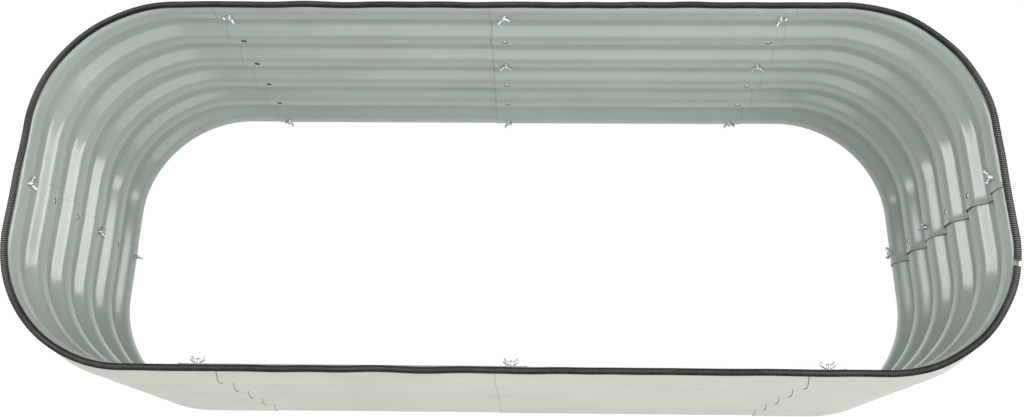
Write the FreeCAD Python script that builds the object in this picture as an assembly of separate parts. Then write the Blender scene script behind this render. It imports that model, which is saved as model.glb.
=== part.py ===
"""Raised garden bed: a ring of eight corrugated steel panels, lapped and bolted together with wing nuts, and a
rubber trim pushed over the top edge. It has no floor.

Millimetres. X runs along the bed, Y across it, +Z up. The origin is the middle of the bed on the ground.
A section is drawn as (out, z): out is the distance outwards from the reference wall, which is the inner face
of the innermost sheet at its inward crests. The bed looks the same when it is turned half a turn about Z, so
the panels of the front are those of the back, turned round.
"""
import FreeCAD
import Part
import math
import os

V = FreeCAD.Vector
ORIGIN = V(0, 0, 0)
UP = V(0, 0, 1)
OUT = V(0, 1, 0)

# ---- the sheet and its wave ----
sheet_t = 0.6          # coated steel
wave_pitch = 82.0      # crest to crest, up the wall
wave_depth = 20.0      # from an inward crest to an outward one
wave_land = 10.0       # flat strip along every crest
wave_bend_r = 14.0     # bend between a crest's flat and the slope beside it
row_count = 6          # inward crests, each with a row of holes
foot_drop = 21.0       # from the ground to the lowest row
lip_set_out = 8.0      # how far the upright lip at the top stands outside the inward crests
lip_bend_r = 5.0       # bend from the top slope into the lip
lip_height = 4.5       # upright strip that the trim grips

# ---- the panels in plan ----
side_span = 455.0      # hole line to hole line on a side panel
corner_r = 200.0       # plan radius of the corner's reference wall
first_leg = 79.0       # from a corner's curve to its hole line, on the leg before it, anticlockwise from above
second_leg = 97.0      # the same on the leg after it
corner_facets = 5      # flats round a corner's curve
lap_edge = 23.0        # from a hole line to the panel's edge
lap_clearance = 0.04   # between the slopes of two nested sheets, measured outwards
hole_d = 7.0           # across the flats of a hole
round_sides = 6        # flats round a hole, a bolt and a hub

# ---- the rim trim ----
trim_wall = 3.7        # rubber on each side of the slot
trim_top = 2.2         # rubber over the edge of the sheets
trim_clearance = 0.05  # between the stack of sheets and each side of the slot
trim_chamfer = 1.2     # upper corners
trim_gap = 10.0        # between the two ends of the strip
trim_gap_turn = 13.0   # degrees, from the right end's wall round the front right corner to the gap's middle

# ---- bolts and wing nuts ----
bolt_d = 4.8
bolt_tail = 2.0        # bolt past the nut's hub
head_d = 9.6
head_top_d = 6.4
head_h = 2.6
nut_clearance = 0.05   # between the bolt and the nut's bore
nut_base_d = 9.6
nut_top_d = 7.4
nut_hub_h = 6.5
wing_span = 24.0       # tip to tip
wing_h = 12.5          # tips, from the nut's base
wing_t = 1.8
wing_foot = 1.4        # lower edge of a wing beside the hub, from the nut's base
wing_tip = 5.0         # breadth of a wing at its tip
wing_tip_cut = 2.0     # corners of the tip

# ---- worked out ----
slope_run = wave_pitch / 2 - wave_land      # rise of a bend, a slope and a bend
slope_gap = 2 * wave_bend_r - wave_depth
slope = (math.asin(2 * wave_bend_r / math.hypot(slope_run, slope_gap))
         - math.atan2(slope_gap, slope_run))
bend_out = wave_bend_r * (1 - math.cos(slope))
bend_rise = wave_bend_r * math.sin(slope)
lip_bend_out = lip_bend_r * (1 - math.cos(slope))
lip_bend_rise = lip_bend_r * math.sin(slope)
lip_slope_rise = (lip_set_out - bend_out - lip_bend_out) / math.tan(slope)
crest_mid = sheet_t / 2                     # middle of the innermost sheet at an inward crest
lap_step = sheet_t / math.cos(slope) + lap_clearance    # each lap level stands this much further out
outer_level = 2                             # lap levels are 0 to 2, and the trim goes over all three
top_row_z = foot_drop + (row_count - 1) * wave_pitch
lip_foot_z = top_row_z + wave_land / 2 + bend_rise + lip_slope_rise + lip_bend_rise
sheet_top = lip_foot_z + lip_height
rim_z = sheet_top + trim_top
corner_y = (first_leg + second_leg) / 2     # axis of a corner's curve
corner_x = side_span + corner_y
wall_x = corner_x + corner_r                # reference wall of the two ends
wall_y = corner_y + corner_r                # reference wall of the front and the back
seam_shift = (second_leg - first_leg) / 2   # of every seam, anticlockwise from above


def row_z(row):
    """Height of a row of holes. Row 1 is the top one."""
    return top_row_z - (row - 1) * wave_pitch


def turned(shape, degrees, x=0.0, y=0.0, z=0.0):
    """A copy turned about the upright through the origin, then moved."""
    copy = shape.copy()
    copy.rotate(ORIGIN, UP, degrees)
    copy.translate(V(x, y, z))
    return copy


def polygon(points):
    """Closed wire in the YZ plane through (out, z) points."""
    corners = [V(0, out, z) for out, z in points]
    return Part.makePolygon(corners + corners[:1])


def through(sections):
    """Solid through polygon sections with equally many corners, with a flat between each two neighbours."""
    rings = [[vertex.Point for vertex in section.OrderedVertexes] for section in sections]
    faces = [Part.Face(sections[0]), Part.Face(sections[-1])]
    for near, far in zip(rings, rings[1:]):
        for k in range(len(near)):
            corners = [near[k - 1], near[k], far[k], far[k - 1]]
            faces.append(Part.Face(Part.makePolygon(corners + corners[:1])))
    shell = Part.makeShell(faces)
    shell.sewShape()
    return Part.Solid(shell).removeSplitter()


def prism_wire(across_flats, out):
    """Regular polygon about the Y axis, facing along it, at a distance outwards."""
    radius = across_flats / 2 / math.cos(math.pi / round_sides)
    angles = [(k + 0.5) * 2 * math.pi / round_sides for k in range(round_sides)]
    corners = [V(radius * math.cos(a), out, radius * math.sin(a)) for a in angles]
    return Part.makePolygon(corners + corners[:1])


def prism(across_flats, start, end, end_across=None):
    """Prism or taper about the Y axis, between two distances outwards."""
    return through([prism_wire(across_flats, start), prism_wire(end_across or across_flats, end)])


# ---- the panel's section ----
def crest(out, z, side):
    """Middle of the sheet over one crest, upwards, as (out, z, slope). The side is 1 for an inward crest and
    -1 for an outward one, and a slope is the lean of the sheet there, outwards from upright."""
    flat = wave_land / 2
    return [(out + side * bend_out, z - flat - bend_rise, -side * slope),
            (out, z - flat, 0.0),
            (out, z + flat, 0.0),
            (out + side * bend_out, z + flat + bend_rise, side * slope)]


def sheet_middle():
    """Middle of the sheet from the ground to the top."""
    line = []
    for row in range(row_count, 0, -1):
        line += crest(crest_mid, row_z(row), 1)
        if row > 1:
            line += crest(crest_mid + wave_depth, row_z(row) + wave_pitch / 2, -1)
    lip = crest_mid + lip_set_out
    line += [(lip - lip_bend_out, lip_foot_z - lip_bend_rise, slope), (lip, lip_foot_z, 0.0),
             (lip, sheet_top, 0.0)]
    return line


def sheet_side(side):
    """One face of the sheet, half a thickness from the middle: 1 for the outer face, -1 for the inner one."""
    half = side * sheet_t / 2
    line = [(out + half * math.cos(lean), z - half * math.sin(lean)) for out, z, lean in sheet_middle()]
    out, z = line[0]
    return [(out + z * math.tan(slope), 0.0)] + line


def sheet_section(level):
    """Closed section of a panel at one of the lap levels."""
    section = polygon(sheet_side(-1) + sheet_side(1)[::-1])
    section.translate(V(0, level * lap_step, 0))
    return section


def round_corner(section):
    """The section at each edge of the flats round a corner, from the right end's wall to the back's. The
    axis of the corner is at the origin."""
    at_wall = turned(section, 0, 0, corner_r)
    return [turned(at_wall, 90 * (k / corner_facets - 1)) for k in range(corner_facets + 1)]


# ---- panels ----
def drills(x, wall):
    """Drills for one line of holes, outwards through a wall."""
    reach = wave_depth + outer_level * lap_step
    return [turned(prism(hole_d, wall - reach, wall + reach), 0, x, 0, row_z(row))
            for row in range(1, row_count + 1)]


def side_panel(level):
    """Straight panel with its wall at the origin."""
    half = side_span / 2 + lap_edge
    sheet = Part.Face(turned(sheet_section(level), 0, -half)).extrude(V(2 * half, 0, 0))
    return sheet.cut(drills(-side_span / 2, 0) + drills(side_span / 2, 0))


def corner_panel(level):
    """Panel round the back right corner, with a straight leg at each end. Its curve's axis is at the origin."""
    curve = round_corner(sheet_section(level))
    first_edge = turned(curve[0], 0, 0, -first_leg - lap_edge)
    second_edge = turned(curve[-1], 0, -second_leg - lap_edge)
    sheet = through([first_edge] + curve + [second_edge])
    first_drills = [turned(drill, -90) for drill in drills(first_leg, corner_r)]
    return sheet.cut(first_drills + drills(-second_leg, corner_r))


# ---- rim trim ----
def trim_section():
    """U over the lips of three lap levels."""
    slot_in = lip_set_out - trim_clearance
    slot_out = lip_set_out + sheet_t + outer_level * lap_step + trim_clearance
    inside, outside = slot_in - trim_wall, slot_out + trim_wall
    return polygon([(inside, lip_foot_z), (inside, rim_z - trim_chamfer), (inside + trim_chamfer, rim_z),
                    (outside - trim_chamfer, rim_z), (outside, rim_z - trim_chamfer), (outside, lip_foot_z),
                    (slot_out, lip_foot_z), (slot_out, sheet_top), (slot_in, sheet_top), (slot_in, lip_foot_z)])


def part_way(sections, place):
    """Section at a fractional place in a list of them, on the flat between its two neighbours."""
    near, far = sections[int(place)].OrderedVertexes, sections[int(place) + 1].OrderedVertexes
    share = place - int(place)
    corners = [start.Point * (1 - share) + end.Point * share for start, end in zip(near, far)]
    return Part.makePolygon(corners + corners[:1])


def rim_trim():
    """One strip round the whole rim, anticlockwise from above, with its ends at a gap on the front right
    corner."""
    corner = round_corner(trim_section())
    back_right, back_left, front_left, front_right = [
        [turned(section, 90 * quarter, x * corner_x, y * corner_y) for section in corner]
        for quarter, (x, y) in enumerate(((1, 1), (-1, 1), (-1, -1), (1, -1)))]
    flat_length = 2 * (corner_r + lip_set_out) * math.sin(math.pi / 4 / corner_facets)
    gap_middle = corner_facets * (1 - trim_gap_turn / 90)
    strip_end = gap_middle - trim_gap / 2 / flat_length
    strip_start = gap_middle + trim_gap / 2 / flat_length
    return through([part_way(front_right, strip_start)] + front_right[math.ceil(strip_start):]
                   + back_right + back_left + front_left
                   + front_right[:math.ceil(strip_end)] + [part_way(front_right, strip_end)])


# ---- bolts and wing nuts, about the Y axis through the reference wall ----
def bolt(inner_level):
    """Bolt through two lapped sheets, with its round head on the outer one."""
    nut_face = inner_level * lap_step
    seat = nut_face + lap_step + sheet_t
    shank = prism(bolt_d, nut_face - nut_hub_h - bolt_tail, seat)
    return shank.fuse(prism(head_d, seat, seat + head_h, head_top_d)).removeSplitter()


def wing(side):
    """One wing as a plate. Its outline is (along, height), the height from the nut's base."""
    tip = wing_span / 2
    outline = [(0, wing_foot), (nut_base_d / 2, wing_foot), (tip, wing_h - wing_tip_cut),
               (tip - wing_tip_cut, wing_h), (tip - wing_tip, wing_h - wing_tip_cut), (0, nut_hub_h - wing_foot)]
    corners = [V(side * along, -height, -wing_t / 2) for along, height in outline]
    return Part.Face(Part.makePolygon(corners + corners[:1])).extrude(V(0, 0, wing_t))


def wing_nut(inner_level, wing_turn):
    """Wing nut against the inner sheet. It is turned about its bolt from level, in degrees."""
    hub = prism(nut_base_d, 0, -nut_hub_h, nut_top_d)
    bore = prism(bolt_d + 2 * nut_clearance, 0, -wing_h)
    nut = hub.fuse([wing(1), wing(-1)]).removeSplitter().cut(bore)
    nut.rotate(ORIGIN, OUT, wing_turn)
    nut.translate(V(0, inner_level * lap_step, 0))
    return nut


# ---- the assembly ----
# the panels of the back half, from left to right, then their twins at the front
back_left_corner = turned(corner_panel(2), 90, -corner_x, corner_y)
back_left_side = turned(side_panel(1), 0, -side_span / 2 - seam_shift, wall_y)
back_right_side = turned(side_panel(0), 0, side_span / 2 - seam_shift, wall_y)
back_right_corner = turned(corner_panel(1), 0, corner_x, corner_y)
panels = {
    "back_left_corner_panel": back_left_corner,
    "back_left_side_panel": back_left_side,
    "back_right_side_panel": back_right_side,
    "back_right_corner_panel": back_right_corner,
    "front_right_corner_panel": turned(back_left_corner, 180),
    "front_right_side_panel": turned(back_left_side, 180),
    "front_left_side_panel": turned(back_right_side, 180),
    "front_left_corner_panel": turned(back_right_corner, 180),
}

# seam: place on the reference wall, turn of the wall, lap level of the inner sheet, and the rows that have a
# bolt, each with the turn of its wing nut
seams = {
    "back_left": (-side_span - seam_shift, wall_y, 0, 1, {1: 50, 6: 55}),
    "back_middle": (-seam_shift, wall_y, 0, 0, {1: -25, 3: 2, 6: -50}),
    "back_right": (side_span - seam_shift, wall_y, 0, 0, {1: -57, 3: 0, 6: -20}),
    "right_end": (wall_x, seam_shift, -90, 1, {1: 0, 4: 80, 6: 10}),
    "front_right": (side_span + seam_shift, -wall_y, 180, 1, {1: 0, 3: 30, 6: -40}),
    "front_middle": (seam_shift, -wall_y, 180, 0, {1: 0, 3: -20, 6: 15}),
    "front_left": (-side_span + seam_shift, -wall_y, 180, 0, {1: 0, 3: 10, 6: -30}),
    "left_end": (-wall_x, -seam_shift, 90, 1, {1: -35, 4: -35, 6: 90}),
}

nodes = dict(panels, rim_trim=rim_trim())
for seam, (x, y, turn, inner_level, rows) in seams.items():
    bolts = [turned(bolt(inner_level), turn, x, y, row_z(row)) for row in rows]
    nuts = [turned(wing_nut(inner_level, rows[row]), turn, x, y, row_z(row)) for row in rows]
    nodes[seam + "_bolts"] = Part.makeCompound(bolts)
    nodes[seam + "_wing_nuts"] = Part.makeCompound(nuts)

os.makedirs("parts", exist_ok=True)
for name, shape in nodes.items():
    shape.exportStep("parts/" + name + ".step")
    print(name, len(shape.Solids), "solids", round(shape.Volume), "mm3", "valid" if shape.isValid() else "INVALID")
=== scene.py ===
# %% [markdown]
# # A raised garden bed
# The bed is a bottomless ring of eight corrugated steel panels. They are coated sage green inside and
# cream outside, lapped and bolted together with wing nuts, and a ribbed black rubber trim covers the
# sharp top edge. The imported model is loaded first. It gives the size and the place of every piece, and
# each piece made below stands for one of its nodes, so the look can gain detail while the size stays.

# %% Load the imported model
import bmesh
import bpy
import math
from collections import namedtuple
from mathutils import Matrix, Vector, noise


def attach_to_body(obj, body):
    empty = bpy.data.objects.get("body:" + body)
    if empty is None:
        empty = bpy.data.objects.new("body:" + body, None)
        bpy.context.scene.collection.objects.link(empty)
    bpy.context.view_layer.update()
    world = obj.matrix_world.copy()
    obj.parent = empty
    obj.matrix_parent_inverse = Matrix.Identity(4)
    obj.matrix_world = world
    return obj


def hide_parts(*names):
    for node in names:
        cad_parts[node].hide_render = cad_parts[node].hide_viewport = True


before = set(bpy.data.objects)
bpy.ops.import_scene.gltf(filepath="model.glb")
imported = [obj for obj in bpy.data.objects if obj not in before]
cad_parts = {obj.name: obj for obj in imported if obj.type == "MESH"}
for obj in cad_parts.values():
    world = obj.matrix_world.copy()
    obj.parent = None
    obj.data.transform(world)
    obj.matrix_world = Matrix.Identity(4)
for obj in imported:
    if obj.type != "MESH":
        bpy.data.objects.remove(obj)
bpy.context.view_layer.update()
MM = 0.001

# %% [markdown]
# ## The sizes that drive the bed
# A real bed like this comes from a few numbers: the wave that the rollers press into the sheet, the
# length of a side panel, the radius of a corner and the distance between holes. They are written here
# once, in millimetres, and everything else is worked out from them, so a change of one number is carried
# through the whole bed.

# %% Driving sizes
sheet_t = 0.6
wave_pitch = 82.0
wave_depth = 20.0
wave_land = 10.0
wave_bend_r = 14.0
row_count = 6
foot_drop = 21.0
lip_set_out = 8.0
lip_bend_r = 5.0
lip_height = 4.5
side_span = 455.0
corner_r = 200.0
first_leg = 79.0
second_leg = 97.0
lap_edge = 23.0
hole_d = 8.0
lap_clearance = 0.04

# %% Sizes worked out from them
slope_run = wave_pitch / 2 - wave_land
slope_gap = 2 * wave_bend_r - wave_depth
slope = math.asin(2 * wave_bend_r / math.hypot(slope_run, slope_gap)) - math.atan2(slope_gap, slope_run)
lap_step = sheet_t / math.cos(slope) + lap_clearance
corner_y = (first_leg + second_leg) / 2
corner_x = side_span + corner_y
wall_x = corner_x + corner_r
wall_y = corner_y + corner_r
seam_shift = (second_leg - first_leg) / 2
top_row_z = foot_drop + (row_count - 1) * wave_pitch
lip_slope_out = lip_set_out - (wave_bend_r + lip_bend_r) * (1 - math.cos(slope))
lip_foot_z = (top_row_z + wave_land / 2 + (wave_bend_r + lip_bend_r) * math.sin(slope)
              + lip_slope_out / math.tan(slope))
sheet_top = lip_foot_z + lip_height


def row_z(row):
    return top_row_z - (row - 1) * wave_pitch


print("slope", round(math.degrees(slope), 2), "degrees, sheet top at", round(sheet_top, 2), "mm")

# %% [markdown]
# ## Helpers for meshes
# Every piece is a mesh of our own points and faces. One helper turns lists in millimetres into a Blender
# object in metres, a second one bakes an object's modifiers into its mesh, and a third one smooths the
# shading but keeps an edge sharp where two faces meet at more than a given angle, as a cut edge does. The
# fourth one hangs a piece on the body and hides the node of the imported model that it stands for.


# %% Mesh helpers
def new_piece(name, points, faces, materials):
    mesh = bpy.data.meshes.new(name)
    mesh.from_pydata([Vector(p) * MM for p in points], [], faces)
    for material in materials:
        mesh.materials.append(material)
    piece = bpy.data.objects.new(name, mesh)
    bpy.context.scene.collection.objects.link(piece)
    return piece


def bake_modifiers(piece):
    depsgraph = bpy.context.evaluated_depsgraph_get()
    baked = bpy.data.meshes.new_from_object(piece.evaluated_get(depsgraph))
    piece.modifiers.clear()
    piece.data = baked


def smooth(mesh, sharp_over):
    mesh.shade_smooth()
    mesh.set_sharp_from_angle(angle=math.radians(sharp_over))


def attach(piece, node):
    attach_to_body(piece, "root")
    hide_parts(node)


# %% [markdown]
# ## Helpers for materials
# A material is a small graph of nodes. It could be drawn by hand in the node editor, but a graph that is
# written can be read from top to bottom and made again with other values. These helpers add a node with its
# settings and values in one line. Effects that several finishes share are node groups, built once.


# %% Node helpers
def add_node(tree, kind, settings=None, **values):
    made = tree.nodes.new(kind)
    for key, value in (settings or {}).items():
        setattr(made, key, value)
    for key, value in values.items():
        put(tree, made, key.replace("_", " "), value)
    return made


def put(tree, made, socket_name, value):
    socket = made.inputs[socket_name]
    if isinstance(value, bpy.types.NodeSocket):
        tree.links.new(value, socket)
    else:
        socket.default_value = value


def math_node(tree, operation, a, b=0.0):
    made = add_node(tree, "ShaderNodeMath", {"operation": operation})
    put(tree, made, 0, a)
    put(tree, made, 1, b)
    return made.outputs[0]


def times(tree, a, b):
    return math_node(tree, "MULTIPLY", a, b)


def plus(tree, a, b):
    return math_node(tree, "ADD", a, b)


def ramp(tree, value, low, high, to_low=0.0, to_high=1.0):
    """From to_low where the value is low, to to_high where it is high, and level beyond them."""
    made = add_node(tree, "ShaderNodeMapRange", Value=value)
    for socket_name, end in (("From Min", low), ("From Max", high), ("To Min", to_low), ("To Max", to_high)):
        put(tree, made, socket_name, end)
    return made.outputs["Result"]


def mix_colour(tree, factor, a, b):
    made = add_node(tree, "ShaderNodeMix", {"data_type": "RGBA"})
    factor_socket, a_socket, b_socket = 0, 6, 7
    put(tree, made, factor_socket, factor)
    put(tree, made, a_socket, a)
    put(tree, made, b_socket, b)
    return made.outputs[2]


def noise_node(tree, vector, scale, detail=3.0):
    made = add_node(tree, "ShaderNodeTexNoise", Vector=vector, Scale=scale, Detail=detail)
    return made.outputs["Fac"]


# %% Helpers for coordinates
def object_place(tree):
    return add_node(tree, "ShaderNodeTexCoord").outputs["Object"]


def uv_place(tree, uv_map):
    return add_node(tree, "ShaderNodeUVMap", {"uv_map": uv_map}).outputs["UV"]


def apart(tree, vector):
    return add_node(tree, "ShaderNodeSeparateXYZ", Vector=vector).outputs


def stretched(tree, vector, scale):
    """Coordinates times a scale of their own in each direction."""
    made = add_node(tree, "ShaderNodeMapping", Vector=vector)
    put(tree, made, "Scale", scale)
    return made.outputs["Vector"]


# %% Helpers for groups and materials
def new_group(name, inputs, outputs):
    """A node group, the sockets that it is given, and the node that takes its results."""
    tree = bpy.data.node_groups.new(name, "ShaderNodeTree")
    for socket_name, kind, value in inputs:
        socket = tree.interface.new_socket(socket_name, in_out="INPUT", socket_type=kind)
        if value is not None:
            socket.default_value = value
    for socket_name, kind in outputs:
        tree.interface.new_socket(socket_name, in_out="OUTPUT", socket_type=kind)
    return tree, tree.nodes.new("NodeGroupInput").outputs, tree.nodes.new("NodeGroupOutput")


def use_group(tree, group, **values):
    made = tree.nodes.new("ShaderNodeGroup")
    made.node_tree = group
    for key, value in values.items():
        put(tree, made, key.replace("_", " "), value)
    return made.outputs


def new_material(name):
    material = bpy.data.materials.new(name)
    material.use_nodes = True
    tree = material.node_tree
    return material, tree, tree.nodes["Principled BSDF"]


def add_relief(tree, skin, height, strength, distance):
    bump = add_node(tree, "ShaderNodeBump", Strength=strength, Distance=distance, Height=height)
    put(tree, skin, "Normal", bump.outputs["Normal"])


def srgb(red, green, blue):
    """The linear colour of a colour as a screen shows it, 0 to 255."""
    def linear(level):
        part = level / 255
        return part / 12.92 if part <= 0.04045 else ((part + 0.055) / 1.055) ** 2.4
    return (linear(red), linear(green), linear(blue), 1.0)


FLOAT, COLOUR = "NodeSocketFloat", "NodeSocketColor"
print("a middle grey is", [round(part, 3) for part in srgb(128, 128, 128)])

# %% [markdown]
# ## Shared effects
# Some effects show on more than one finish. *Mottle* is the slow, cloudy change of tone that paint,
# rubber and plating all have. *Settled dust* is pale and lies on what faces up. *Grain* is the fine
# roughness of a sprayed or moulded skin, given as a height. Each is a node group with its own sizes, so
# that paint, rubber and zinc use the same graph with other values. Two more groups follow for the coated
# sheet, which has two colours.

# %% Node group: mottle
cloud_detail = 4.0
cloud_low, cloud_high = 0.35, 0.65
mottle, given, result = new_group(
    "mottle",
    [("Colour", COLOUR, None), ("Darker", COLOUR, None),
     ("Patch Size", FLOAT, 0.1), ("Strength", FLOAT, 0.5)],
    [("Colour", COLOUR), ("Mask", FLOAT)])
cloud_scale = math_node(mottle, "DIVIDE", 1.0, given["Patch Size"])
clouds = noise_node(mottle, object_place(mottle), cloud_scale, cloud_detail)
patches = ramp(mottle, clouds, cloud_low, cloud_high)
patch_share = times(mottle, patches, given["Strength"])
put(mottle, result, "Colour", mix_colour(mottle, patch_share, given["Colour"], given["Darker"]))
put(mottle, result, "Mask", patches)
print("mottle gives", [socket.name for socket in result.inputs if socket.name])

# %% Node group: settled dust
level_low, level_high = 0.25, 0.95
speck_scale, speck_detail = 90.0, 6.0
speck_low, speck_high = 0.45, 0.75
dust, given, result = new_group(
    "settled_dust",
    [("Colour", COLOUR, None), ("Dust Colour", COLOUR, None), ("Amount", FLOAT, 0.3)],
    [("Colour", COLOUR), ("Mask", FLOAT)])
facing = add_node(dust, "ShaderNodeNewGeometry").outputs["Normal"]
upward = ramp(dust, apart(dust, facing)["Z"], level_low, level_high)
speckle = noise_node(dust, object_place(dust), speck_scale, speck_detail)
specks = ramp(dust, speckle, speck_low, speck_high)
cover = times(dust, times(dust, upward, specks), given["Amount"])
put(dust, result, "Colour", mix_colour(dust, cover, given["Colour"], given["Dust Colour"]))
put(dust, result, "Mask", cover)
print("dust gives", [socket.name for socket in result.inputs if socket.name])

# %% Node group: grain
grain_detail = 2.0
grain, given, result = new_group(
    "grain", [("Grain Size", FLOAT, 0.001), ("Swell Size", FLOAT, 0.02), ("Swell", FLOAT, 0.5)],
    [("Height", FLOAT)])
grain_scale = math_node(grain, "DIVIDE", 1.0, given["Grain Size"])
swell_scale = math_node(grain, "DIVIDE", 1.0, given["Swell Size"])
grains = noise_node(grain, object_place(grain), grain_scale, grain_detail)
swells = noise_node(grain, object_place(grain), swell_scale, grain_detail)
put(grain, result, "Height", plus(grain, grains, times(grain, swells, given["Swell"])))
print("grain gives", [socket.name for socket in result.inputs if socket.name])

# %% [markdown]
# ## What the rollers and the shears do
# The rollers that press the waves leave very faint lines along them, and thin sheet is never quite flat
# between two bends, which makes a highlight waver. Where the sheet was sheared, the coating flakes back by a
# hair's breadth and bare steel shows. That band is coloured dark enough to be painted shade as well, of the
# gap in each open lap and of the walls of the holes. Both follow the sheet, so they read the panel's own UV
# maps: in the first one U runs along the wall and V up it, in metres, and in the second one U is the
# distance from the nearest cut.

# %% Node group: rolled sheet
line_stretch = (3.0, 260.0, 1.0)
smear_stretch = (5.0, 40.0, 1.0)
dent_stretch = (9.0, 14.0, 1.0)
line_low, line_high = 0.35, 0.75
rolled, given, result = new_group(
    "rolled_sheet",
    [("Colour", COLOUR, None), ("Darker", COLOUR, None), ("Line Strength", FLOAT, 0.25),
     ("Roughness", FLOAT, 0.4), ("Smear", FLOAT, 0.16),
     ("Line Height", FLOAT, 0.6), ("Dent Height", FLOAT, 8.0)],
    [("Colour", COLOUR), ("Roughness", FLOAT), ("Height", FLOAT)])
sheet_place = uv_place(rolled, "along_the_sheet")
roller_lines = noise_node(rolled, stretched(rolled, sheet_place, line_stretch), 1.0, 3.0)
smears = noise_node(rolled, stretched(rolled, sheet_place, smear_stretch), 1.0, 4.0)
dents = noise_node(rolled, stretched(rolled, sheet_place, dent_stretch), 1.0, 2.0)
line_tone = times(rolled, ramp(rolled, roller_lines, line_low, line_high), given["Line Strength"])
put(rolled, result, "Colour", mix_colour(rolled, line_tone, given["Colour"], given["Darker"]))
put(rolled, result, "Roughness", plus(rolled, given["Roughness"], times(rolled, smears, given["Smear"])))
line_relief = times(rolled, roller_lines, given["Line Height"])
dent_relief = times(rolled, dents, given["Dent Height"])
put(rolled, result, "Height", plus(rolled, line_relief, dent_relief))
print("rolled sheet gives", [socket.name for socket in result.inputs if socket.name])

# %% Node group: chipped edge and painted shade
chip_stretch = (400.0, 160.0, 1.0)
chips_and_shade, given, result = new_group(
    "chipped_edge_and_shade",
    [("Colour", COLOUR, None), ("Bare Colour", COLOUR, None), ("Chip Width", FLOAT, 0.0003)],
    [("Colour", COLOUR), ("Mask", FLOAT)])
from_edge = apart(chips_and_shade, uv_place(chips_and_shade, "from_the_edge"))["X"]
ragged = noise_node(chips_and_shade, stretched(chips_and_shade, uv_place(chips_and_shade, "along_the_sheet"), chip_stretch), 1.0)
# A ragged band at each cut edge gets the bare colour: bare steel, and painted shade of the open lap beside
# it.
chip_reach = times(chips_and_shade, times(chips_and_shade, ragged, 2.0), given["Chip Width"])
chipped_and_shaded = math_node(chips_and_shade, "LESS_THAN", from_edge, chip_reach)
put(chips_and_shade, result, "Colour", mix_colour(chips_and_shade, chipped_and_shaded, given["Colour"], given["Bare Colour"]))
put(chips_and_shade, result, "Mask", chipped_and_shaded)
print("node groups:", [group.name for group in bpy.data.node_groups])

# %% [markdown]
# ## The coated steel
# The sheet is galvanised steel with a baked coating, sage and satin on the inner side, cream and nearly
# matt on the outer one. One rough highlight alone would look like chalk, and one sharp one like glass. So
# a clear coat lies on a rougher body and gives two highlights, a narrow one on a broad one. One function
# makes both coatings, as only their colours, their roughness and their gloss differ.


# %% Coating material
chip_width = 0.0003
# Bare steel, darkened so that it also paints the shade in the laps and on the walls of the holes.
bare_steel_and_shade = srgb(62, 66, 62)
coat_roughness = 0.14
body_specular = 0.25
peel_strength, peel_distance = 0.12, 0.0006


def coating(name, colour, darker, dust_colour, roughness, gloss):
    material, tree, skin = new_material(name)
    tone = use_group(tree, mottle, Colour=colour, Darker=darker, Patch_Size=0.16, Strength=0.7)
    dusty = use_group(tree, dust, Colour=tone["Colour"], Dust_Colour=dust_colour, Amount=0.25)
    pressed = use_group(tree, rolled, Colour=dusty["Colour"], Darker=darker, Roughness=roughness)
    edged = use_group(tree, chips_and_shade, Colour=pressed["Colour"], Bare_Colour=bare_steel_and_shade, Chip_Width=chip_width)
    put(tree, skin, "Base Color", edged["Colour"])
    put(tree, skin, "Roughness", pressed["Roughness"])
    put(tree, skin, "Specular IOR Level", body_specular)
    put(tree, skin, "Coat Weight", gloss)
    put(tree, skin, "Coat Roughness", coat_roughness)
    peel = use_group(tree, grain, Grain_Size=0.0016, Swell_Size=0.012, Swell=1.5)
    add_relief(tree, skin, plus(tree, peel["Height"], pressed["Height"]), peel_strength, peel_distance)
    return material


sage_coating = coating("sage_coating", colour=srgb(174, 185, 177), darker=srgb(166, 174, 166),
                       dust_colour=srgb(192, 198, 188), roughness=0.34, gloss=0.68)
cream_coating = coating("cream_coating", colour=srgb(202, 203, 195), darker=srgb(194, 195, 187),
                        dust_colour=srgb(218, 217, 208), roughness=0.5, gloss=0.08)
print("coatings:", sage_coating.name, cream_coating.name)

# %% [markdown]
# ## The cut edge of the sheet
# A panel is sheared to size and punched after it is coated, so its edges and the walls of its holes show
# bare steel, dark and dull, with the zinc layer as lighter flecks. The edge is thinner than a pixel from
# the photo's distance, so mottle with a patch of a few millimetres is enough for it.

# %% Cut edge material
cut_edge, edge_tree, edge_skin = new_material("cut_edge")
edge_tone = use_group(edge_tree, mottle, Colour=srgb(84, 88, 84), Darker=srgb(46, 48, 45),
                      Patch_Size=0.006, Strength=0.9)
put(edge_tree, edge_skin, "Base Color", edge_tone["Colour"])
put(edge_tree, edge_skin, "Roughness", ramp(edge_tree, edge_tone["Mask"], 0.0, 1.0, 0.5, 0.833))
put(edge_tree, edge_skin, "Metallic", 0.5)
print("made", cut_edge.name)

# %% [markdown]
# ## The rubber
# The trim is moulded rubber over a wire core, matt black. Two painted highlights lie on it in light grey.
# One is on the tops of its ribs, strong where it bends round the ends of the bed and weak along the sides.
# The other is a thin painted sheen along its crown. They could be drawn on an image, but here they are worked
# out: a UV map counts the ribs in X and goes round the section in Y, so they follow the rubber wherever it
# goes. Noise breaks them up unevenly.

# %% Where the painted highlights lie
black_rubber, rubber_tree, rubber_skin = new_material("black_rubber")
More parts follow.
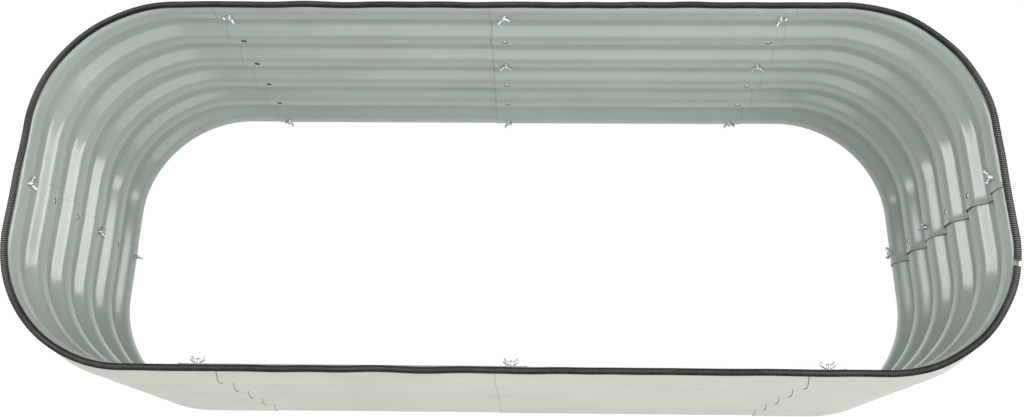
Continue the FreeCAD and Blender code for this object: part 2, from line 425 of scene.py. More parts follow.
# Where the painted highlights of the trim lie: a line round the section at the crown, and the rib tops near
# the ends.
crown_place = 0.36
crown_reach = 0.028
end_start, end_full = 0.70, 0.75
side_sheen = 0.12
sheen_stretch = (0.02, 3.0, 1.0)
rib_map = uv_place(rubber_tree, "by_the_rib")
rib_place = apart(rubber_tree, rib_map)
rib_turn = times(rubber_tree, rib_place["X"], 2 * math.pi)
rib_top = ramp(rubber_tree, math_node(rubber_tree, "COSINE", rib_turn), 0.3, 1.0)
sheen_noise = noise_node(rubber_tree, stretched(rubber_tree, rib_map, sheen_stretch), 1.0, 4.0)
along_bed = math_node(rubber_tree, "ABSOLUTE", apart(rubber_tree, object_place(rubber_tree))["X"])
end_sheen = ramp(rubber_tree, along_bed, end_start, end_full, side_sheen, 1.0)
rib_sheen_share = times(rubber_tree, end_sheen, ramp(rubber_tree, sheen_noise, 0.15, 0.5))
# Painted highlight: the tops of the ribs turn light grey, fully at the ends of the bed and a little along the
# sides.
painted_rib_highlight = times(rubber_tree, rib_top, rib_sheen_share)
from_crown = math_node(rubber_tree, "SUBTRACT", rib_place["Y"], crown_place)
off_crown = math_node(rubber_tree, "ABSOLUTE", from_crown)
on_crown = ramp(rubber_tree, off_crown, crown_reach, 0.0)
# Painted sheen: a thin light grey line along the crown of the section.
crown = times(rubber_tree, on_crown, ramp(rubber_tree, sheen_noise, 0.2, 0.7))
print("the crown's mark is", round(2 * crown_reach, 3), "of the way round the section")

# %% Rubber material
rubber_tone = use_group(rubber_tree, mottle, Colour=srgb(17, 18, 17), Darker=srgb(10, 11, 10),
                        Patch_Size=0.02, Strength=0.8)
rubber_dust = use_group(rubber_tree, dust, Colour=rubber_tone["Colour"], Dust_Colour=srgb(120, 120, 114),
                        Amount=0.1)
# The painted crown sheen and the painted rib highlight are mixed into the black rubber colour.
crowned = mix_colour(rubber_tree, crown, rubber_dust["Colour"], srgb(92, 92, 89))
put(rubber_tree, rubber_skin, "Base Color", mix_colour(rubber_tree, painted_rib_highlight, crowned, srgb(136, 137, 133)))
put(rubber_tree, rubber_skin, "Specular IOR Level", 0.22)
put(rubber_tree, rubber_skin, "Roughness", ramp(rubber_tree, rubber_tone["Mask"], 0.0, 1.0, 0.577, 0.769))
rubber_grain = use_group(rubber_tree, grain, Grain_Size=0.0007, Swell_Size=0.004, Swell=1.0)
add_relief(rubber_tree, rubber_skin, rubber_grain["Height"], strength=0.35, distance=0.0003)
print("made", black_rubber.name)

# %% [markdown]
# ## The zinc plate
# The nuts and bolts are plated with zinc: bright, slightly blue, with a fine grain from the casting and
# darker patches. A plain metal of one roughness would look polished, so the roughness follows the
# patches: where the plating is darker it is also duller. The bolts are a darker and rougher zinc than the
# nuts.


# %% Zinc material
def zinc(name, colour, darker, smooth_part, rough_part):
    material, tree, skin = new_material(name)
    tone = use_group(tree, mottle, Colour=colour, Darker=darker, Patch_Size=0.004, Strength=0.8)
    put(tree, skin, "Base Color", tone["Colour"])
    put(tree, skin, "Roughness", ramp(tree, tone["Mask"], 0.0, 1.0, smooth_part, rough_part))
    put(tree, skin, "Metallic", 1.0)
    cast = use_group(tree, grain, Grain_Size=0.0004, Swell_Size=0.003, Swell=1.5)
    add_relief(tree, skin, cast["Height"], strength=0.3, distance=0.0002)
    return material


nut_zinc = zinc("nut_zinc", srgb(226, 229, 230), srgb(158, 162, 164), smooth_part=0.2, rough_part=0.38)
bolt_zinc = zinc("bolt_zinc", srgb(196, 197, 194), srgb(120, 122, 120), smooth_part=0.28, rough_part=0.5)
print("materials:", [material.name for material in bpy.data.materials])

# %% [markdown]
# ## The wave of the sheet
# Looked at from its end, a panel is one line: flats at the crests, straight slopes between them, and a
# round bend wherever they meet. A sine curve would be quicker, but it has no flats for the nuts to sit
# on. The line is drawn as pairs of *out*, the distance outwards from the wall, and *z*, the height. A
# bend is a true arc, cut into short steps, so that a highlight runs round it without a break.

# %% The line of the sheet
bend_steps = 7
slope_steps = 3


def bend(out, z, side, up, radius=wave_bend_r):
    """Points of one bend, from the flat at (out, z) to the slope beside it."""
    points = []
    for step in range(bend_steps + 1):
        lean = slope * step / bend_steps
        points.append((out + side * radius * (1 - math.cos(lean)), z + up * radius * math.sin(lean)))
    return points


def crest_line(out, z, side):
    """From the slope below a crest to the slope above it."""
    return bend(out, z - wave_land / 2, side, -1)[::-1] + bend(out, z + wave_land / 2, side, 1)


def between(start, end, steps):
    return [(start[0] + (end[0] - start[0]) * k / steps, start[1] + (end[1] - start[1]) * k / steps)
            for k in range(1, steps)]


inner_crest = sheet_t / 2
outer_crest = inner_crest + wave_depth
turns = []
for row in range(row_count, 0, -1):
    turns.append(crest_line(inner_crest, row_z(row), 1))
    if row > 1:
        turns.append(crest_line(outer_crest, row_z(row) + wave_pitch / 2, -1))
lip_out = inner_crest + lip_set_out
turns.append(bend(lip_out, lip_foot_z, -1, -1, lip_bend_r)[::-1] + [(lip_out, sheet_top)])
foot_z = sheet_t / 2 * math.sin(slope)
foot_out = turns[0][0][0] + (turns[0][0][1] - foot_z) * math.tan(slope)
sheet_line = [(foot_out, foot_z)]
for turn in turns:
    sheet_line += between(sheet_line[-1], turn[0], slope_steps) + turn
print("points up the sheet:", len(sheet_line))

# %% [markdown]
# ## The plan of a panel
# Seen from above, a side panel is straight and a corner panel is a quarter round with a straight leg at
# each end. Each is a list of stations along the wall. A station has its place, the direction that points
# outwards, and its distance from the panel's first edge. Even steps would be simpler, but stations lie
# closer beside the holes and near the cut edges, because the holes are punched between two of them and
# the edges spring a little.

# %% Stations along a panel
hole_cell = wave_land / 2
edge_marks = [0.0, 2.5, 6.0, 11.0, lap_edge - hole_cell, lap_edge + hole_cell, 35.0, 2 * lap_edge]
corner_steps = 36
span_step = 26.0


def marks_between(start, end, step):
    count = max(1, round((end - start) / step))
    return [start + (end - start) * k / count for k in range(1, count)]


def side_stations():
    length = side_span + 2 * lap_edge
    marks = edge_marks + marks_between(2 * lap_edge, length - 2 * lap_edge, span_step)
    marks += [length - mark for mark in reversed(edge_marks)]
    return [((length / 2 - mark, 0.0), (0.0, 1.0), mark) for mark in marks]


def corner_stations():
    first, second = first_leg + lap_edge, second_leg + lap_edge
    arc = corner_r * math.pi / 2
    stations = []
    for mark in edge_marks + marks_between(2 * lap_edge, first, span_step):
        stations.append(((corner_r, mark - first), (1.0, 0.0), mark))
    for step in range(corner_steps + 1):
        angle = math.pi / 2 * step / corner_steps
        across = (math.cos(angle), math.sin(angle))
        place = (corner_r * across[0], corner_r * across[1])
        stations.append((place, across, first + arc * step / corner_steps))
    last_marks = marks_between(0, second - 2 * lap_edge, span_step)
    last_marks += [second - mark for mark in reversed(edge_marks)]
    for mark in last_marks:
        stations.append(((-mark, corner_r), (0.0, 1.0), first + arc + mark))
    return stations


print("stations:", len(side_stations()), "on a side,", len(corner_stations()), "on a corner")

# %% [markdown]
# ## The seams
# A seam is a column of six holes through two lapped sheets. Only some rows have a bolt. Each wing nut
# stopped where it came tight, so its wings lean by their own angle, which is written beside its row. The
# names go round the bed anticlockwise from the right end, seen from above. A panel's *level* counts the lap
# steps by which it stands outside of the wall's own line. Where two panels lap, the one of the lower level is
# the inner one, and a seam's level is the level of that panel.

# %% Seams and panels
Seam = namedtuple("Seam", "x y turn level nut_turns")
seams = {
    "right_end": Seam(wall_x, seam_shift, -90, 1, {1: 0, 4: 80, 6: 10}),
    "back_right": Seam(side_span - seam_shift, wall_y, 0, 0, {1: -57, 3: 0, 6: -20}),
    "back_middle": Seam(-seam_shift, wall_y, 0, 0, {1: -25, 3: 2, 6: -50}),
    "back_left": Seam(-side_span - seam_shift, wall_y, 0, 1, {1: 50, 6: 55}),
    "left_end": Seam(-wall_x, -seam_shift, 90, 1, {1: -35, 4: -35, 6: 90}),
    "front_left": Seam(-side_span + seam_shift, -wall_y, 180, 0, {1: 0, 3: 10, 6: -30}),
    "front_middle": Seam(seam_shift, -wall_y, 180, 0, {1: 0, 3: -20, 6: 15}),
    "front_right": Seam(side_span + seam_shift, -wall_y, 180, 1, {1: 0, 3: 30, 6: -40}),
}
side_mid = side_span / 2
Panel = namedtuple("Panel", "stations turn x y level")
panels = {
    "back_right_corner": Panel(corner_stations, 0, corner_x, corner_y, 1),
    "back_right_side": Panel(side_stations, 0, side_mid - seam_shift, wall_y, 0),
    "back_left_side": Panel(side_stations, 0, -side_mid - seam_shift, wall_y, 1),
    "back_left_corner": Panel(corner_stations, 90, -corner_x, corner_y, 2),
    "front_left_corner": Panel(corner_stations, 180, -corner_x, -corner_y, 1),
    "front_left_side": Panel(side_stations, 180, -side_mid + seam_shift, -wall_y, 0),
    "front_right_side": Panel(side_stations, 180, side_mid + seam_shift, -wall_y, 1),
    "front_right_corner": Panel(corner_stations, 270, corner_x, -corner_y, 2),
}
seam_names, panel_names = list(seams), list(panels)


def neighbours(name):
    """The seam and the next panel at a panel's first edge, and at its last one."""
    at = panel_names.index(name)
    before, after = panel_names[at - 1], panel_names[(at + 1) % len(panel_names)]
    return (seam_names[at], before), (seam_names[(at + 1) % len(seam_names)], after)


print("beside the back right corner:", neighbours("back_right_corner"))

# %% [markdown]
# ## Sprung edges
# Thin sheet springs at a free edge, away from the sheet that it laps, except where a bolt holds it. That
# open edge makes the thin dark line at each lap, and each seam stands open by its own measure. A line
# could be drawn with a dark colour, but a real gap also catches the light as the view changes. An edge on
# the outer side of its lap springs outwards, and less at the outer crests, which are the widest part of
# the bed.

# %% Sprung edges
edge_spring = 1.3
seam_spring = {"right_end": 2.8, "back_left": 0.9, "left_end": 0.0, "front_left": 2.8, "front_right": 2.6}
spring_reach = 20.0
bolt_hold = 26.0
held_least = 0.15


def spring(distance, out, z, seam, outwards):
    """How far the sheet stands off its lap, at a distance from the free edge."""
    if distance >= spring_reach:
        return 0.0
    to_bolt = min(abs(z - row_z(row)) for row in seams[seam].nut_turns)
    loose = min(1.0, max(held_least, to_bolt / bolt_hold))
    stand = seam_spring.get(seam, edge_spring) * loose * (1 - distance / spring_reach) ** 2
    if outwards:
        return stand * max(0.0, 1 - out / outer_crest)
    return -stand


open_by = abs(spring(0, inner_crest, row_z(2), "right_end", outwards=False))
print("in row 2 the right end's edge stands off by", open_by, "mm")

# %% [markdown]
# ## Punched holes
# Between the two stations beside a seam the flat of each inward crest is a square. A Boolean modifier
# could cut the hole, but then the modifier chooses the faces round it. Here the square becomes four faces
# round a true circle, with a narrow ring of bare steel round it, coloured dark as painted shade of the hole's
# wall. At the back left the outer sheet covers the rows without a bolt but for a small hole. There the dark
# ring runs in to that small hole as a disc of painted shade, so those rows look dark.

# %% Punched holes
hole_points = 24
# Width of the dark ring round each hole: bare steel and painted shade of the hole's wall.
bare_and_shade_ring = 0.9
small_d = 2.4
covered_seam = "back_left"
outermost = max(panel.level for panel in panels.values())
touching = 0.01


def hole_bore(seam, level, z):
    """The small bore where the outer sheet covers a row without a bolt, else the full one."""
    bolted = any(abs(z - row_z(row)) < hole_d for row in seams[seam].nut_turns)
    covered = seam == covered_seam and level == outermost and not bolted
    return small_d if covered else hole_d


def punch(points, faces, corners, bore):
    """A round hole with a narrow ring of bare steel painted dark as shade, and four faces from the ring out
    to a square's corners.
    """
    first = len(points)
    square = [points[corner] for corner in corners]
    centre = sum(square, Vector()) / 4
    along, up = (square[1] - square[0]).normalized(), Vector((0, 0, 1))
    corner_angle = -math.pi * 3 / 4
    for radius in (hole_d / 2 + bare_and_shade_ring, bore / 2):
        for k in range(hole_points):
            angle = corner_angle + 2 * math.pi * k / hole_points
            points.append(centre + (along * math.cos(angle) + up * math.sin(angle)) * radius)
    quarter = hole_points // 4
    for side in range(4):
        arc = [first + (side * quarter + k) % hole_points for k in range(quarter + 1)]
        faces.append([corners[side], corners[(side + 1) % 4]] + arc[::-1])
    for k in range(hole_points):
        after = (k + 1) % hole_points
        faces.append([first + k, first + after, first + hole_points + after, first + hole_points + k])
    return centre


row_bores = [hole_bore(covered_seam, outermost, row_z(row)) for row in range(1, row_count + 1)]
print("bores of the covering sheet, row by row:", row_bores)

# %% [markdown]
# ## The panels
# A panel is woven as a grid: the wave's points up the wall at every station along it. A flat sheet could
# be bent with modifiers, but a woven one has a row of points exactly where each bend starts and ends. A
# Solidify modifier gives the sheet its thickness, with the coatings of the two sides and the bare edge as
# three materials. Two UV maps go with it: one follows the sheet, and one gives the distance from the
# nearest cut.

# %% Grid of a panel
crest_flats = [k for k, (out, z) in enumerate(sheet_line) if abs(out - inner_crest) < touching
               and any(abs(z + hole_cell - row_z(row)) < touching for row in range(1, row_count + 1))]


def grid_points(name):
    """Points of the grid, and for each its distance along the panel and its height."""
    panel = panels[name]
    turned = Matrix.Rotation(math.radians(panel.turn), 3, "Z")
    (first_seam, before), (last_seam, after) = neighbours(name)
    line = panel.stations()
    length = line[-1][2]
    points, marks = [], []
    for place, across, mark in line:
        for out, z in sheet_line:
            stand = panel.level * lap_step
            stand += spring(mark, out, z, first_seam, panel.level > panels[before].level)
            stand += spring(length - mark, out, z, last_seam, panel.level > panels[after].level)
            x, y = (place[axis] + across[axis] * (out + stand) for axis in (0, 1))
            points.append(turned @ Vector((x, y, z)) + Vector((panel.x, panel.y, 0)))
            marks.append((mark, z))
    return points, marks


print("the flats of the inward crests start at points", crest_flats)


# %% Weave a panel
def panel_mesh(name):
    """The grid's faces, with a hole punched in every crest's flat beside a seam."""
    points, marks = grid_points(name)
    (first_seam, _), (last_seam, _) = neighbours(name)
    faces = []
    tall = len(sheet_line)
    length = marks[-1][0]
    for start in range(0, len(points) - tall, tall):
        middle = (marks[start][0] + marks[start + tall][0]) / 2
        at_seam = abs(min(middle, length - middle) - lap_edge) < touching
        seam = first_seam if middle < length / 2 else last_seam
        for k in range(tall - 1):
            near, far = start + k, start + tall + k
            corners = [far, near, near + 1, far + 1]
            if at_seam and k in crest_flats:
                bore = hole_bore(seam, panels[name].level, sheet_line[k][1] + hole_cell)
                centre = punch(points, faces, corners, bore)
                marks += [(middle, centre.z)] * (2 * hole_points)
            else:
                faces.append(corners)
    return points, faces, marks


def map_sheet(mesh, marks):
    along = mesh.uv_layers.new(name="along_the_sheet")
    edge = mesh.uv_layers.new(name="from_the_edge")
    length = max(mark for mark, z in marks)
    for face in mesh.polygons:
        on_ring = all(marks[point][0] in (lap_edge, length - lap_edge) for point in face.vertices)
        for loop, point in zip(face.loop_indices, face.vertices):
            mark, z = marks[point]
            along.data[loop].uv = (mark * MM, z * MM)
            edge.data[loop].uv = (0.0 if on_ring else min(mark, length - mark) * MM, z * MM)


def panel_piece(name):
    points, faces, marks = panel_mesh(name)
    piece = new_piece(name + "_sheet", points, faces, [sage_coating, cream_coating, cut_edge])
    map_sheet(piece.data, marks)
    thick = piece.modifiers.new("thickness", "SOLIDIFY")
    thick.thickness = sheet_t * MM
    thick.offset = 0.0
    thick.material_offset = 1
    thick.material_offset_rim = 2
    bake_modifiers(piece)
    smooth(piece.data, sharp_over=30)
    attach(piece, name + "_panel")
    return piece


sheets = [panel_piece(name) for name in panels]
print("sheet faces:", sum(len(piece.data.polygons) for piece in sheets))

# %% [markdown]
# ## The rubber trim
# The trim is one strip, pushed over the lips of the panels and cut where its two ends meet. It is swept
# round the rim: a U-shaped section is placed at every step along the plan. A curve with a bevel would do
# for a plain strip, but here every section may differ. Fine ribs cross it, because the rubber is moulded
# over a wire core, so the section is a little fatter at each rib and thinner between two. A strip pushed
# on by hand isn't seated evenly, so a slow noise lets it sag and sway by a millimetre or two. The sag and the
# sway read the noise along two different lines.

# %% Trim section
trim_wall = 3.7
trim_top = 2.2
trim_clearance = 0.05
trim_round = 2.0
foot_bevel = 1.0
round_steps = 4
rim_z = sheet_top + trim_top
slot_in = lip_set_out - trim_clearance
slot_out = lip_set_out + sheet_t + 2 * lap_step + trim_clearance
trim_in, trim_out = slot_in - trim_wall, slot_out + trim_wall


def trim_section(relief):
    """The U as (out, z), with its skin drawn in by the relief."""
    inside, outside, top, foot = trim_in + relief, trim_out - relief, rim_z - relief, lip_foot_z
    turns = [math.pi / 2 * step / round_steps for step in range(round_steps + 1)]
    skin = [(inside + foot_bevel, foot), (inside, foot + foot_bevel)]
    skin += [(inside + trim_round * (1 - math.cos(turn)), top - trim_round * (1 - math.sin(turn)))
             for turn in turns]
    skin += [(outside - trim_round * (1 - math.sin(turn)), top - trim_round * (1 - math.cos(turn)))
             for turn in turns]
    skin += [(outside, foot + foot_bevel), (outside - foot_bevel, foot)]
    return skin + [(slot_out, foot), (slot_out, sheet_top), (slot_in, sheet_top), (slot_in, foot)]


print("the trim is", round(trim_out - trim_in, 1), "mm wide")

# %% Path of the trim
trim_gap = 10.0
trim_gap_turn = 13.0
trim_r = corner_r + (trim_in + trim_out) / 2
quarter_run = trim_r * math.pi / 2
# Each run of the rim: its length, the centre that it starts beside, and the way that faces out there.
rim_runs = [
    (corner_y, corner_x, 0, 0), (quarter_run, corner_x, corner_y, 0),
    (2 * corner_x, corner_x, corner_y, 90), (quarter_run, -corner_x, corner_y, 90),
    (2 * corner_y, -corner_x, corner_y, 180), (quarter_run, -corner_x, -corner_y, 180),
    (2 * corner_x, -corner_x, -corner_y, 270), (quarter_run, corner_x, -corner_y, 270),
    (corner_y, corner_x, -corner_y, 360),
]


def rim_station(distance):
    """Place and outward direction, at a distance round the rim from the middle of the right end."""
    for k, (run, x, y, start) in enumerate(rim_runs):
        if distance <= run or k == len(rim_runs) - 1:
            on_corner = k % 2 == 1
            angle = math.radians(start) + (distance / trim_r if on_corner else 0.0)
            shift = 0.0 if on_corner else distance
            across = Vector((math.cos(angle), math.sin(angle), 0))
            ahead = Vector((-math.sin(angle), math.cos(angle), 0))
            return Vector((x, y, 0)) + across * corner_r + ahead * shift, across
        distance -= run


rim_length = 4 * corner_y + 4 * corner_x + 2 * math.pi * trim_r
gap_middle = rim_length - corner_y - math.radians(trim_gap_turn) * trim_r
strip_start = gap_middle + trim_gap / 2 - rim_length
strip_end = gap_middle - trim_gap / 2
print("rim length", round(rim_length), "strip", round(strip_end - strip_start))


# %% Sweep the trim
rib_pitch = 3.4
rib_depth = 0.7
rib_profile = (1.0, 0.85, 0.0, 0.85)
trim_sag = 1.6
sag_length = 70.0
sway_line = 5


def trim_place(distance):
    """Where the strip lies at a distance along it, and how far it sags and sways there."""
    wall, across = rim_station(distance if distance >= 0 else distance + rim_length)
    sag = trim_sag * (0.5 + 0.5 * noise.noise(Vector((distance / sag_length, 0, 0))))
    sway = trim_sag * noise.noise(Vector((distance / sag_length, sway_line, 0)))
    return wall, across, sag, sway


def trim_mesh():
    strip = strip_end - strip_start
    count = round(strip / (rib_pitch / len(rib_profile)))
    points = []
    for k in range(count + 1):
        wall, across, sag, sway = trim_place(strip_start + strip * k / count)
        relief = rib_depth * (1 - rib_profile[k % len(rib_profile)])
        for out, z in trim_section(relief):
            points.append(wall + across * (out + sway) + Vector((0, 0, z - sag)))
    size = len(points) // (count + 1)
    faces = []
    for near in range(0, count * size, size):
        far = near + size
        faces += [[near + j, far + j, far + (j + 1) % size, near + (j + 1) % size] for j in range(size)]
    faces.append(list(range(size)))
    faces.append(list(range(count * size, (count + 1) * size))[::-1])
    return points, faces, size


def trim_piece():
    points, faces, size = trim_mesh()
    piece = new_piece("ribbed_trim", points, faces, [black_rubber])
    ribs = piece.data.uv_layers.new(name="by_the_rib")
    for loop in piece.data.loops:
        station, place = divmod(loop.vertex_index, size)
        ribs.data[loop.index].uv = (station / len(rib_profile), place / size)
    smooth(piece.data, sharp_over=50)
    attach(piece, "rim_trim")
    return piece


trim = trim_piece()
print("trim faces:", len(trim.data.polygons))

# %% [markdown]
# ## Wing nuts
# A wing nut is cast in one piece: a hub that tapers from its foot, and two ears that rise and spread from
# it so that two fingers can turn it. The hub is a profile spun about the bolt. An ear has no straight
# edge that could be drawn, so it starts as a coarse cage of five rings, and a Subdivision Surface
# modifier rounds it, as casting does. All nuts share one mesh, so a change of one is a change of all.

# %% Nut sizes
nut_base_d = 9.6
nut_top_d = 7.4
nut_hub_h = 6.5
bore_d = 4.9
wing_span = 24.0
wing_h = 12.5
spin_steps = 32


def spun(points, faces, profile):
    """Adds a closed profile of (radius, height) spun about the axis."""
    first, size = len(points), len(profile)
    for k in range(spin_steps):
        angle = 2 * math.pi * k / spin_steps
        points += [(radius * math.cos(angle), radius * math.sin(angle), height) for radius, height in profile]
    for k in range(spin_steps):
        near, far = first + k * size, first + (k + 1) % spin_steps * size
        faces += [[near + j, far + j, far + (j + 1) % size, near + (j + 1) % size] for j in range(size)]


# %% Hub and ears
def hub_profile():
    base, top, bore = nut_base_d / 2, nut_top_d / 2, bore_d / 2
    return [(bore + 0.4, 0), (base - 0.4, 0), (base - 0.1, 0.12), (base, 0.45), (base - 0.1, 1.1),
            (base - 0.5, 1.8), (top + 0.35, 3.6), (top, nut_hub_h - 0.7), (top - 0.2, nut_hub_h - 0.2),
            (top - 0.6, nut_hub_h), (bore + 0.35, nut_hub_h), (bore, nut_hub_h - 0.35), (bore, 0.4)]


def ear_cage(side):
    """Rings along one ear: along the span, height of the middle, half height and half thickness."""
    tip = wing_span / 2
    lean = 0.35
    rings = [(2.4, 3.6, 3.0, 2.1), (4.8, 4.6, 3.0, 2.0), (7.4, 6.6, 3.4, 1.9), (tip - 2.2, 8.8, 3.8, 1.8),
             (tip - 0.7, wing_h - 2.9, 3.0, 1.5)]
    points, faces = [], []
    for along, height, tall, thick in rings:
        points += [(side * (along + tall * lean), -side * thick, height - tall),
                   (side * (along + tall * lean), side * thick, height - tall),
                   (side * (along - tall * lean), side * thick, height + tall),
                   (side * (along - tall * lean), -side * thick, height + tall)]
    for ring in range(len(rings) - 1):
        near, far = ring * 4, ring * 4 + 4
        faces += [[near + j, near + (j + 1) % 4, far + (j + 1) % 4, far + j] for j in range(4)]
    faces += [[3, 2, 1, 0], [len(points) - 4, len(points) - 3, len(points) - 2, len(points) - 1]]
    return points, faces


def nut_mesh():
    points, faces = [], []
    spun(points, faces, hub_profile())
    hub = new_piece("nut_hub", points, faces, [nut_zinc])
    ears = []
    for side in (1, -1):
        ear = new_piece("nut_ear", *ear_cage(side), [nut_zinc])
        rounded = ear.modifiers.new("cast_round", "SUBSURF")
        rounded.levels = rounded.render_levels = 3
        bake_modifiers(ear)
        ears.append(ear)
    whole = bmesh.new()
    for part in [hub] + ears:
        whole.from_mesh(part.data)
        bpy.data.objects.remove(part)
    bmesh.ops.recalc_face_normals(whole, faces=whole.faces)
    mesh = bpy.data.meshes.new("wing_nut")
    whole.to_mesh(mesh)
    whole.free()
    mesh.materials.append(nut_zinc)
    smooth(mesh, sharp_over=50)
    return mesh


wing_nut = nut_mesh()
print("nut faces:", len(wing_nut.polygons))

# %% [markdown]
# ## Bolts
# A bolt is pushed through from outside. Its low round head with a hexagon socket lies on the outer sheet,
# and its threaded end stands a little past the nut. The thread could be a stack of rings, but a true
# helix is as easy: round the shank and along it, the radius goes up and down with the turn, one crest for
# each pitch.

# %% Bolt sizes
bolt_d = 4.8
thread_pitch = 0.8
thread_depth = 0.32
thread_steps = 5
bolt_tail = 2.0
head_d = 9.6
head_h = 2.6
head_edge = 0.35
dome_steps = 6
socket_across = 3.0
socket_deep = 1.4
socket_rim = 0.5
socket_bevel = 0.1
shank_inset = 0.15
thread_start = 0.4
tail_taper = 0.5
tip_inset = 0.45
tip_bevel = 0.05


def ring_of(points, radius_at, height):
    """Adds a ring of points, with a radius that may change with the angle, and gives their numbers."""
    first = len(points)
    for k in range(spin_steps):
        angle = 2 * math.pi * k / spin_steps
        radius = radius_at(angle)
        points.append((radius * math.cos(angle), radius * math.sin(angle), height))
    return list(range(first, first + spin_steps))


def join_rings(faces, low, high):
    for k in range(spin_steps):
        after = (k + 1) % spin_steps
        faces.append([low[k], low[after], high[after], high[k]])


# %% Head, shank and thread
def round_ring(radius):
    return lambda angle: radius


def hexagon(across):
    def radius(angle):
        return across / 2 / math.cos((angle + math.pi / 6) % (math.pi / 3) - math.pi / 6)
    return radius


def thread(height):
    def radius(angle):
        turn = (height / thread_pitch - angle / (2 * math.pi)) % 1.0
        return bolt_d / 2 - thread_depth * abs(2 * turn - 1)
    return radius


def head_rings(points):
    """From the floor of the socket over the round head to the foot of the shank."""
    rim_r = socket_across / 2 + socket_rim
    rings = [ring_of(points, hexagon(socket_across), -head_h + socket_deep),
             ring_of(points, hexagon(socket_across), -head_h + socket_bevel),
             ring_of(points, hexagon(socket_across + 3 * socket_bevel), -head_h)]
    for step in range(1, dome_steps + 1):
        angle = math.pi / 2 * step / dome_steps
        radius = rim_r + (head_d / 2 - rim_r) * math.sin(angle)
        height = -head_h + (head_h - head_edge) * (1 - math.cos(angle))
        rings.append(ring_of(points, round_ring(radius), height))
    rings.append(ring_of(points, round_ring(head_d / 2), -socket_bevel))
    rings.append(ring_of(points, round_ring(head_d / 2 - shank_inset), 0.0))
    rings.append(ring_of(points, round_ring(bolt_d / 2 - shank_inset), 0.0))
    return rings


def bolt_mesh(grip):
    """The bolt along Z with its head below. The grip is the two sheets and the nut's hub."""
    points, faces = [], []
    rings = head_rings(points)
    tail = grip + bolt_tail
    start, end = thread_start, tail - tail_taper
    count = int((end - start) / thread_pitch * thread_steps)
    for step in range(count + 1):
        height = start + (end - start) * step / count
        rings.append(ring_of(points, thread(height), height))
    rings.append(ring_of(points, round_ring(bolt_d / 2 - tip_inset), tail - tip_bevel))
    rings.append(ring_of(points, round_ring(bolt_d / 2 - tip_inset - 5 * tip_bevel), tail))
    for low, high in zip(rings, rings[1:]):
        join_rings(faces, low, high)
    faces.append(rings[0][::-1])
    faces.append(rings[-1])
    mesh = bpy.data.meshes.new("bolt")
    mesh.from_pydata([Vector(point) * MM for point in points], [], faces)
    mesh.materials.append(bolt_zinc)
    smooth(mesh, sharp_over=40)
    return mesh


bolt = bolt_mesh(lap_step + sheet_t + nut_hub_h)
print("bolt faces:", len(bolt.polygons))

# %% [markdown]
# ## Fasten the seams
# A nut's or a bolt's axis points into the bed. It is laid level, turned about itself by the angle at
# which the nut stopped, turned with the wall, and moved to its hole. The nut's foot is on the inner sheet
# and the bolt's head on the outer one.


# %% Place nuts and bolts
def fasten(mesh, name, node, seam, row, seat, roll):
    at = seams[seam]
    level_axis = Matrix.Rotation(math.radians(90), 4, "X")
    own_turn = Matrix.Rotation(math.radians(roll), 4, "Y")
    to_seat = Matrix.Translation((0, seat * MM, 0))
    wall_turn = Matrix.Rotation(math.radians(at.turn), 4, "Z")
    to_hole = Matrix.Translation(Vector((at.x, at.y, row_z(row))) * MM)
    piece = bpy.data.objects.new(name, mesh)
    bpy.context.scene.collection.objects.link(piece)
    piece.matrix_world = to_hole @ wall_turn @ to_seat @ own_turn @ level_axis
    attach(piece, node)
    return piece


for seam, at in seams.items():
    nut_seat = at.level * lap_step
    bolt_seat = nut_seat + lap_step + sheet_t
    for row, roll in at.nut_turns.items():
        fasten(wing_nut, f"{seam}_wing_nut_{row}", seam + "_wing_nuts", seam, row, nut_seat, roll)
        fasten(bolt, f"{seam}_bolt_{row}", seam + "_bolts", seam, row, bolt_seat, roll / 2)
print("nuts and bolts placed:", sum(len(at.nut_turns) for at in seams.values()))

# %% [markdown]
# ## Floor and surroundings
# The bed stands on a white studio floor. The camera, and anything glossy, sees the floor and the
# surroundings as plain white, through the Light Path node. For every other ray the floor is a plain matt
# surface and the surroundings give a soft even light, so the bed keeps a soft shadow and is not lit by
# its own background. From here on, sizes and places are in metres.


# %% Rays that see plain white
def seen_directly(tree):
    """1 for a ray from the camera, a mirror or glass, else 0."""
    rays = add_node(tree, "ShaderNodeLightPath")
    glossy = math_node(tree, "MAXIMUM", rays.outputs["Is Camera Ray"], rays.outputs["Is Glossy Ray"])
    return math_node(tree, "MAXIMUM", glossy, rays.outputs["Is Transmission Ray"])


def mixed_output(tree, share, for_others, for_seen, kind):
    """Ends a tree with one shader where the share is 0 and another where it is 1."""
    mixed = tree.nodes.new("ShaderNodeMixShader")
    for socket, value in zip(mixed.inputs, (share, for_others.outputs[0], for_seen.outputs[0])):
        tree.links.new(value, socket)
    tree.links.new(mixed.outputs[0], tree.nodes.new(kind).inputs["Surface"])


pure_white = (1.0, 1.0, 1.0, 1.0)

# %% Floor
floor_half = 7.0
floor_drop = 0.0005
floor_white = 0.88
floor_glow = 1.1
floor_grey = (0.9, 0.9, 0.9, 1.0)
floor_corners = [(-floor_half, -floor_half, 0), (floor_half, -floor_half, 0),
                 (floor_half, floor_half, 0), (-floor_half, floor_half, 0)]
floor_mesh = bpy.data.meshes.new("studio_floor")
floor_mesh.from_pydata(floor_corners, [], [(0, 1, 2, 3)])
floor = bpy.data.objects.new("studio_floor", floor_mesh)
bpy.context.scene.collection.objects.link(floor)
floor.location.z = -floor_drop
floor_paint = bpy.data.materials.new("floor_paint")
floor_paint.use_nodes = True
floor_tree = floor_paint.node_tree
floor_tree.nodes.clear()
matt = add_node(floor_tree, "ShaderNodeBsdfDiffuse", Color=floor_grey)
white = add_node(floor_tree, "ShaderNodeEmission", Color=pure_white, Strength=floor_glow)
white_share = times(floor_tree, seen_directly(floor_tree), floor_white)
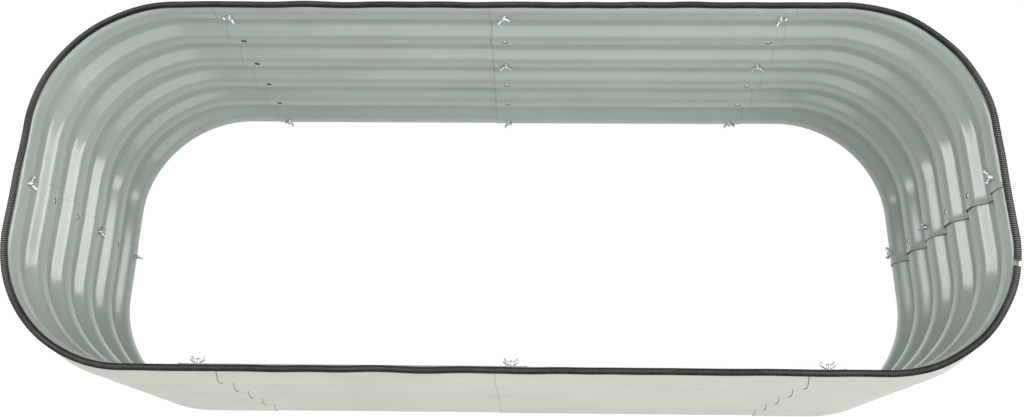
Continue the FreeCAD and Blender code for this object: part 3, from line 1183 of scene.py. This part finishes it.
mixed_output(floor_tree, white_share, matt, white, "ShaderNodeOutputMaterial")
floor_mesh.materials.append(floor_paint)
print("floor of", 2 * floor_half, "m")

# %% World
sky_strength = 0.47
world = bpy.data.worlds.new("studio")
bpy.context.scene.world = world
world.use_nodes = True
world_tree = world.node_tree
world_tree.nodes.clear()
sky = add_node(world_tree, "ShaderNodeBackground", Color=pure_white, Strength=sky_strength)
plain = add_node(world_tree, "ShaderNodeBackground", Color=pure_white, Strength=1.0)
mixed_output(world_tree, seen_directly(world_tree), sky, plain, "ShaderNodeOutputWorld")
print("the surroundings light the bed with", sky_strength)

# %% [markdown]
# ## Lamps
# A large soft lamp high in front gives the general light. Two lamps stand high beyond the ends of the
# bed, and a little behind it. Each is mirrored in the slopes of the opposite end wall and makes the
# bright streaks that run along the waves there. A wider lamp makes a longer streak, and a higher one a
# broader streak. Three weak low lamps, one behind and one beside each end, light the outside from there.


# %% Place the lamps
def area_lamp(name, place, target, width, height, power):
    data = bpy.data.lights.new(name, "AREA")
    data.shape = "RECTANGLE"
    data.size = width
    data.size_y = height
    data.energy = power
    lamp = bpy.data.objects.new(name, data)
    bpy.context.scene.collection.objects.link(lamp)
    lamp.location = place
    lamp.rotation_euler = (Vector(target) - Vector(place)).to_track_quat("-Z", "Y").to_euler()
    return lamp


mid_height = 0.3
area_lamp("front_soft", (0.8, -1.9, 3.0), (0.0, 0.1, mid_height), width=5.0, height=3.0, power=88.0)
area_lamp("behind", (0.5, 2.0, 0.4), (0.1, 0.3, mid_height), width=2.4, height=0.3, power=11.0)
for end in (-1, 1):
    near_wall, far_wall = (end * 0.75, 0.0, mid_height), (-end * 0.75, 0.0, mid_height)
    area_lamp("beside", (end * 2.4, 0.0, 0.4), near_wall, width=1.4, height=0.3, power=5.5)
    area_lamp("end_streak", (end * 3.2, 1.4, 2.43), far_wall, width=1.4, height=0.7, power=37.0)

# %% [markdown]
# ## Camera
# The photograph looks down into the bed from above and a little in front. The camera's place, its angles
# and its lens were worked out from the places of the nuts, the holes and the rim. It is tilted down, then
# turned about the upright, and rolled about its own line of sight last.

# %% Place the camera
camera_place = Vector((32.66, -510.16, 1753.02)) * MM
camera_tilt = math.radians(70.645)
camera_turn = math.radians(3.034)
camera_roll = math.radians(-2.545)
camera_lens = 32.217
sensor_width = 36.0
about_up = Matrix.Rotation(camera_turn, 3, "Z")
ahead = about_up @ Vector((0, math.cos(camera_tilt), -math.sin(camera_tilt)))
above = about_up @ Vector((0, math.sin(camera_tilt), math.cos(camera_tilt)))
right = about_up @ Vector((1, 0, 0))
rolled_right = right * math.cos(camera_roll) + above * math.sin(camera_roll)
rolled_above = above * math.cos(camera_roll) - right * math.sin(camera_roll)
camera_data = bpy.data.cameras.new("camera")
camera_data.sensor_width = sensor_width
camera_data.lens = camera_lens
camera = bpy.data.objects.new("camera", camera_data)
bpy.context.scene.collection.objects.link(camera)
aim = Matrix((rolled_right, rolled_above, -ahead)).transposed()
camera.matrix_world = Matrix.Translation(camera_place) @ aim.to_4x4()
bpy.context.scene.camera = camera
bpy.context.scene.view_settings.view_transform = "Standard"
print("camera at", [round(part, 3) for part in camera.location])
